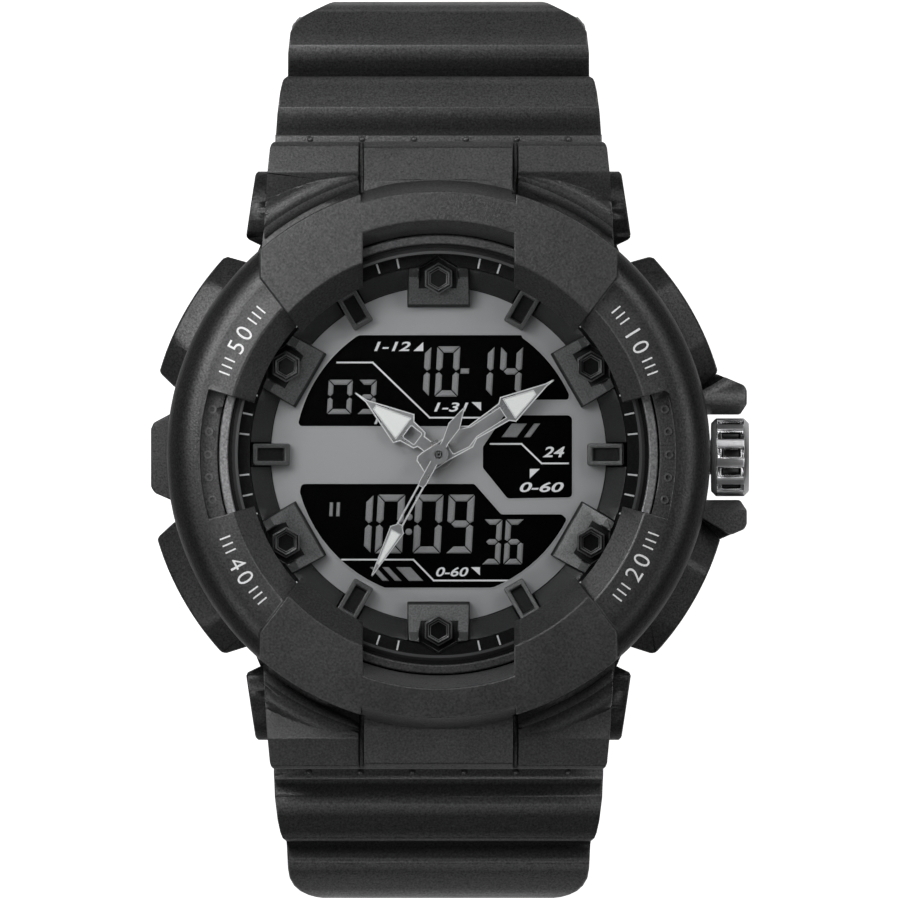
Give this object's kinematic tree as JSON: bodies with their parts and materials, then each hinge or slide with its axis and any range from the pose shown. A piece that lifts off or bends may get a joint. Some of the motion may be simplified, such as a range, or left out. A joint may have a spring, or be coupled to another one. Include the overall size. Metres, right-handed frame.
{
  "type": "ana digi watch",
  "caption": "Wrist watch with turning hands over a liquid crystal display, resin bezel and case, push buttons, pull-out crown and ribbed buckle strap.",
  "frame": {"origin": "on the hands' axis, on the outer face of the case back", "axes": "+Z out of the dial, +Y towards 12, +X towards 3 and the crown"},
  "size_m": [0.0535, 0.0805, 0.0667],
  "materials": {
    "resin": "fine matte grain",
    "ring_metal": "grainy dark plating",
    "crystal": "clear",
    "seal": "soft black",
    "dial": "satin grey",
    "lcd": "black display",
    "backlight": "milky",
    "board": "solder mask",
    "battery": "bright",
    "steel": "brushed",
    "copper": "enamelled wire",
    "wheel_brass": "turned",
    "hand": "satin silver",
    "lume": "white luminous fill",
    "crown": "polished",
    "strap": "matte moulded"
  },
  "bodies": {
    "case": {"bezel": "resin", "case_middle": "resin", "inner_bezel_ring": "ring_metal", "crystal": "crystal", "crystal_gasket": "seal", "chapter_ring": "resin", "hour_ring": "resin", "hex_studs": "resin", "frame_markers": "resin", "dial": "dial", "lcd_panel": "lcd", "backlight_panel": "backlight", "display_connectors": "seal", "circuit_board": "board", "battery": "battery", "battery_clamp": "steel", "module_holder": "resin", "mainplate": "steel", "train_bridge": "steel", "coil": "copper", "stator": "steel", "crown_tube": "steel", "pusher_springs": "steel", "pusher_seals": "seal", "case_back": "steel", "case_back_seal": "seal", "case_back_screws": "steel", "buzzer": "wheel_brass", "spring_bars": "steel"},
    "rotor": {"rotor": "wheel_brass"},
    "third_wheel": {"third_wheel": "wheel_brass"},
    "seconds": {"seconds_arbor": "wheel_brass", "second_hand": "hand", "second_lume": "lume"},
    "minutes": {"centre_wheel": "wheel_brass", "minute_hand": "hand", "minute_lume": "lume"},
    "minute_work": {"minute_work_wheel": "wheel_brass"},
    "hours": {"hour_wheel": "wheel_brass", "hour_hand": "hand", "hour_lume": "lume"},
    "setting_lever": {"setting_lever": "steel"},
    "crown": {"crown": "crown", "stem": "steel", "stem_seal": "seal"},
    "strap_12": {"strap_12": "strap", "fixed_keeper": "strap", "buckle_bar": "steel"},
    "free_keeper": {"free_keeper": "strap"},
    "buckle": {"buckle": "steel"},
    "tang": {"tang": "steel"},
    "strap_6": {"strap_6": "strap"},
    "pusher_a": {"pusher_a": "resin", "pusher_clip_a": "steel"},
    "pusher_b": {"pusher_b": "resin", "pusher_clip_b": "steel"},
    "pusher_c": {"pusher_c": "resin", "pusher_clip_c": "steel"},
    "pusher_d": {"pusher_d": "resin", "pusher_clip_d": "steel"}
  },
  "joints": [
    {"name": "rotor_spin", "type": "hinge", "parent": "case", "child": "rotor", "pos_m": [0, -0.00445, 0.006], "axis": [0, 0, -1], "continuous": true},
    {"name": "third_spin", "type": "hinge", "parent": "case", "child": "third_wheel", "pos_m": [-0.00119, -0.00237, 0.006], "axis": [0, 0, -1], "continuous": true},
    {"name": "seconds_spin", "type": "hinge", "parent": "case", "child": "seconds", "pos_m": [0, 0, 0.006], "axis": [0, 0, -1], "continuous": true},
    {"name": "minutes_spin", "type": "hinge", "parent": "case", "child": "minutes", "pos_m": [0, 0, 0.007], "axis": [0, 0, -1], "continuous": true},
    {"name": "minute_work_spin", "type": "hinge", "parent": "case", "child": "minute_work", "pos_m": [0.0016, 0.00277, 0.007], "axis": [0, 0, -1], "continuous": true},
    {"name": "hours_spin", "type": "hinge", "parent": "case", "child": "hours", "pos_m": [0, 0, 0.008], "axis": [0, 0, -1], "continuous": true},
    {"name": "crown_pull", "type": "slide", "parent": "case", "child": "setting_lever", "axis": [1, 0, 0], "range_m": [0, 0.0012]},
    {"name": "crown_spin", "type": "hinge", "parent": "setting_lever", "child": "crown", "pos_m": [0.02, -0.00025, 0.0062], "axis": [1, 0, 0], "continuous": true},
    {"name": "pusher_a_press", "type": "slide", "parent": "case", "child": "pusher_a", "axis": [-0.866, -0.5, 0], "range_m": [0, 0.001], "stiffness_N_per_m": 800},
    {"name": "pusher_b_press", "type": "slide", "parent": "case", "child": "pusher_b", "axis": [0.866, -0.5, 0], "range_m": [0, 0.001], "stiffness_N_per_m": 800},
    {"name": "pusher_c_press", "type": "slide", "parent": "case", "child": "pusher_c", "axis": [0.866, 0.5, 0], "range_m": [0, 0.001], "stiffness_N_per_m": 800},
    {"name": "pusher_d_press", "type": "slide", "parent": "case", "child": "pusher_d", "axis": [-0.866, 0.5, 0], "range_m": [0, 0.001], "stiffness_N_per_m": 800},
    {"name": "strap_12_swing", "type": "hinge", "parent": "case", "child": "strap_12", "pos_m": [0, 0.0224, 0.0038], "axis": [1, 0, 0], "range_deg": [0, 25]},
    {"name": "strap_6_swing", "type": "hinge", "parent": "case", "child": "strap_6", "pos_m": [0, -0.0224, 0.0038], "axis": [-1, 0, 0], "range_deg": [0, 25]},
    {"name": "buckle_swing", "type": "hinge", "parent": "strap_12", "child": "buckle", "pos_m": [0, 0.006, -0.0295], "axis": [1, 0, 0], "range_deg": [-110, 20]},
    {"name": "tang_swing", "type": "hinge", "parent": "buckle", "child": "tang", "pos_m": [0, 0.006, -0.0295], "axis": [-1, 0, 0], "range_deg": [0, 65]},
    {"name": "free_keeper_slide", "type": "slide", "parent": "strap_12", "child": "free_keeper", "axis": [0, 1, 0], "range_m": [-0.002, 0.0045]}
  ],
  "couplings": [
    {"joint": "third_spin", "follows": "rotor_spin", "ratio": -0.2},
    {"joint": "seconds_spin", "follows": "rotor_spin", "ratio": 0.033333},
    {"joint": "minute_work_spin", "follows": "minutes_spin", "ratio": -0.33333},
    {"joint": "hours_spin", "follows": "minutes_spin", "ratio": 0.083333}
  ]
}
